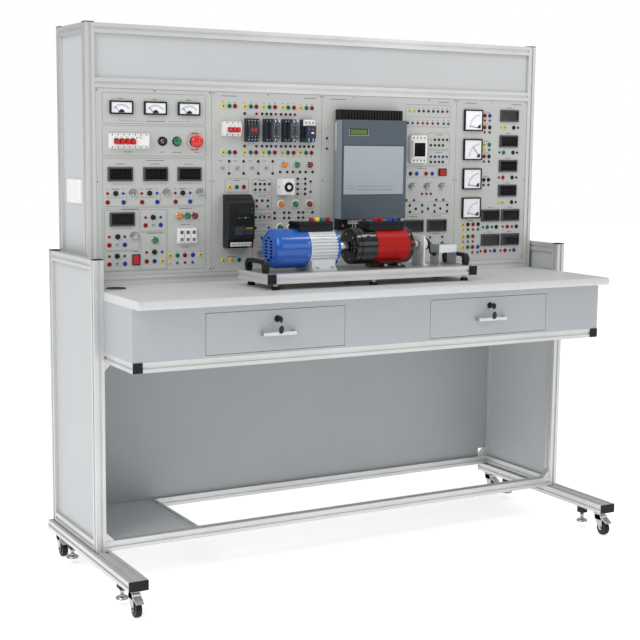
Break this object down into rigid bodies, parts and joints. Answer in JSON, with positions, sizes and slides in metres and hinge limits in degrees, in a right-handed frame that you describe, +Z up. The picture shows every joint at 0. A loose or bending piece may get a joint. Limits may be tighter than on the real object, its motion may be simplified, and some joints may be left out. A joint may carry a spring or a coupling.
{
  "type": "motor drive training bench",
  "caption": "Aluminium-profile teaching bench: desk with drawers, instrument cabinet of plug-in panels, and a portable base with a coupled AC and DC motor pair.",
  "frame": {"origin": "floor level, in the middle of the overall width and depth", "axes": "+Z up, +X to the user's right along the bench, -Y towards the user"},
  "size_m": [1.78, 0.718, 1.679],
  "materials": {
    "profile": "satin anodised",
    "white_sheet": "satin powder coat",
    "grey_sheet": "satin powder coat",
    "module_sheet": "satin printed",
    "desk_board": "grey laminate",
    "dark_plastic": "satin",
    "slate_plastic": "satin",
    "charcoal_plastic": "satin",
    "blue_enamel": "gloss",
    "red_enamel": "gloss",
    "cast_aluminium": "cast",
    "tread": "matt",
    "plated_steel": "zinc plated",
    "chrome": "polished",
    "red_plastic": "gloss",
    "orange_plastic": "gloss",
    "green_plastic": "gloss"
  },
  "bodies": {
    "bench": {"cabinet_back_panel": "white_sheet", "cabinet_frame": "profile", "cabinet_left_panel": "white_sheet", "cabinet_right_panel": "white_sheet", "cabinet_top_panel": "white_sheet", "control_module_panel": "module_sheet", "dc_drive": "slate_plastic", "desk_support_frame": "profile", "desk_top": "desk_board", "drawer_housing": "white_sheet", "drive_module_panel": "module_sheet", "floor_shelf": "white_sheet", "front_bottom_rail": "profile", "header_panel": "module_sheet", "inverter": "charcoal_plastic", "left_end_frame": "profile", "left_end_panel": "white_sheet", "left_foot_beam": "profile", "lower_back_panel": "grey_sheet", "meter_module_panel": "module_sheet", "power_module_panel": "module_sheet", "rear_bottom_rail": "profile", "right_end_frame": "profile", "right_end_panel": "white_sheet", "right_foot_beam": "profile", "shelf_cross_rail": "profile"},
    "left_front_caster_swivel": {"left_front_caster_fork": "plated_steel"},
    "left_front_wheel": {"left_front_caster_wheel": "tread"},
    "left_front_leveller": {"left_front_levelling_foot": "chrome"},
    "left_rear_caster_swivel": {"left_rear_caster_fork": "plated_steel"},
    "left_rear_wheel": {"left_rear_caster_wheel": "tread"},
    "left_rear_leveller": {"left_rear_levelling_foot": "chrome"},
    "right_front_caster_swivel": {"right_front_caster_fork": "plated_steel"},
    "right_front_wheel": {"right_front_caster_wheel": "tread"},
    "right_front_leveller": {"right_front_levelling_foot": "chrome"},
    "right_rear_caster_swivel": {"right_rear_caster_fork": "plated_steel"},
    "right_rear_wheel": {"right_rear_caster_wheel": "tread"},
    "right_rear_leveller": {"right_rear_levelling_foot": "chrome"},
    "left_drawer": {"left_drawer": "white_sheet"},
    "left_lock": {"left_drawer_lock": "chrome"},
    "right_drawer": {"right_drawer": "white_sheet"},
    "right_lock": {"right_drawer_lock": "chrome"},
    "motor_set": {"motor_base": "profile", "left_carry_handle": "dark_plastic", "right_carry_handle": "dark_plastic", "ac_motor": "cast_aluminium", "fan_cowl": "blue_enamel", "dc_motor": "red_enamel", "encoder_bracket": "white_sheet", "encoder": "dark_plastic"},
    "rotor": {"rotor_shaft": "chrome"},
    "orange_button": {"orange_push_button": "orange_plastic"},
    "green_button": {"green_push_button": "green_plastic"},
    "red_button": {"red_push_button": "red_plastic"},
    "stop_button": {"emergency_stop_button": "red_plastic"},
    "key": {"key_switch": "chrome"},
    "main_lever": {"main_breaker_lever": "red_plastic"},
    "motor_lever": {"motor_breaker_lever": "red_plastic"},
    "dial": {"timer_dial": "white_sheet"},
    "rocker": {"power_rocker_switch": "red_plastic"}
  },
  "joints": [
    {"name": "left_front_swivel", "type": "hinge", "parent": "bench", "child": "left_front_caster_swivel", "pos_m": [-0.86, -0.309, 0.0767], "axis": [0, 0, 1], "continuous": true},
    {"name": "left_front_wheel_spin", "type": "hinge", "parent": "left_front_caster_swivel", "child": "left_front_wheel", "pos_m": [-0.86, -0.329, 0.02452], "axis": [1, 0, 0], "continuous": true},
    {"name": "left_front_levelling_screw", "type": "slide", "parent": "bench", "child": "left_front_leveller", "axis": [0, 0, 1], "range_m": [-0.025, 0.005]},
    {"name": "left_rear_swivel", "type": "hinge", "parent": "bench", "child": "left_rear_caster_swivel", "pos_m": [-0.86, 0.321, 0.0767], "axis": [0, 0, 1], "continuous": true},
    {"name": "left_rear_wheel_spin", "type": "hinge", "parent": "left_rear_caster_swivel", "child": "left_rear_wheel", "pos_m": [-0.86, 0.301, 0.02452], "axis": [1, 0, 0], "continuous": true},
    {"name": "left_rear_levelling_screw", "type": "slide", "parent": "bench", "child": "left_rear_leveller", "axis": [0, 0, 1], "range_m": [-0.025, 0.005]},
    {"name": "right_front_swivel", "type": "hinge", "parent": "bench", "child": "right_front_caster_swivel", "pos_m": [0.86, -0.309, 0.0767], "axis": [0, 0, 1], "continuous": true},
    {"name": "right_front_wheel_spin", "type": "hinge", "parent": "right_front_caster_swivel", "child": "right_front_wheel", "pos_m": [0.86, -0.329, 0.02452], "axis": [1, 0, 0], "continuous": true},
    {"name": "right_front_levelling_screw", "type": "slide", "parent": "bench", "child": "right_front_leveller", "axis": [0, 0, 1], "range_m": [-0.025, 0.005]},
    {"name": "right_rear_swivel", "type": "hinge", "parent": "bench", "child": "right_rear_caster_swivel", "pos_m": [0.86, 0.321, 0.0767], "axis": [0, 0, 1], "continuous": true},
    {"name": "right_rear_wheel_spin", "type": "hinge", "parent": "right_rear_caster_swivel", "child": "right_rear_wheel", "pos_m": [0.86, 0.301, 0.02452], "axis": [1, 0, 0], "continuous": true},
    {"name": "right_rear_levelling_screw", "type": "slide", "parent": "bench", "child": "right_rear_leveller", "axis": [0, 0, 1], "range_m": [-0.025, 0.005]},
    {"name": "left_drawer_slide", "type": "slide", "parent": "bench", "child": "left_drawer", "axis": [0, -1, 0], "range_m": [0, 0.3]},
    {"name": "left_lock_turn", "type": "hinge", "parent": "left_drawer", "child": "left_lock", "pos_m": [-0.3885, -0.274, 0.81548], "axis": [0, 1, 0], "range_deg": [0, 90]},
    {"name": "right_drawer_slide", "type": "slide", "parent": "bench", "child": "right_drawer", "axis": [0, -1, 0], "range_m": [0, 0.3]},
    {"name": "right_lock_turn", "type": "hinge", "parent": "right_drawer", "child": "right_lock", "pos_m": [0.3885, -0.274, 0.81548], "axis": [0, 1, 0], "range_deg": [0, 90]},
    {"name": "motor_set_lift", "type": "slide", "parent": "bench", "child": "motor_set", "axis": [0, 0, 1], "range_m": [0, 0.2]},
    {"name": "rotor_spin", "type": "hinge", "parent": "motor_set", "child": "rotor", "pos_m": [-0.0805, -0.121, 1.0085], "axis": [1, 0, 0], "continuous": true},
    {"name": "orange_button_press", "type": "slide", "parent": "bench", "child": "orange_button", "axis": [0, 1, 0], "range_m": [0, 0.004], "stiffness_N_per_m": 800, "springref_m": -0.002},
    {"name": "green_button_press", "type": "slide", "parent": "bench", "child": "green_button", "axis": [0, 1, 0], "range_m": [0, 0.004], "stiffness_N_per_m": 800, "springref_m": -0.002},
    {"name": "red_button_press", "type": "slide", "parent": "bench", "child": "red_button", "axis": [0, 1, 0], "range_m": [0, 0.004], "stiffness_N_per_m": 800, "springref_m": -0.002},
    {"name": "stop_button_press", "type": "slide", "parent": "bench", "child": "stop_button", "axis": [0, 1, 0], "range_m": [0, 0.005]},
    {"name": "key_turn", "type": "hinge", "parent": "bench", "child": "key", "pos_m": [-0.59535, 0.098, 1.33013], "axis": [0, 1, 0], "range_deg": [0, 90]},
    {"name": "main_lever_throw", "type": "hinge", "parent": "bench", "child": "main_lever", "pos_m": [-0.72278, 0.088, 1.33013], "axis": [-1, 0, 0], "range_deg": [0, 50]},
    {"name": "motor_lever_throw", "type": "hinge", "parent": "bench", "child": "motor_lever", "pos_m": [-0.36646, 0.074, 1.37074], "axis": [-1, 0, 0], "range_deg": [0, 50]},
    {"name": "timer_dial_turn", "type": "hinge", "parent": "bench", "child": "dial", "pos_m": [-0.17481, 0.058, 1.18857], "axis": [0, 1, 0], "range_deg": [0, 270]},
    {"name": "rocker_tilt", "type": "hinge", "parent": "bench", "child": "rocker", "pos_m": [-0.68406, 0.102, 0.96945], "axis": [-1, 0, 0], "range_deg": [0, 16]}
  ]
}
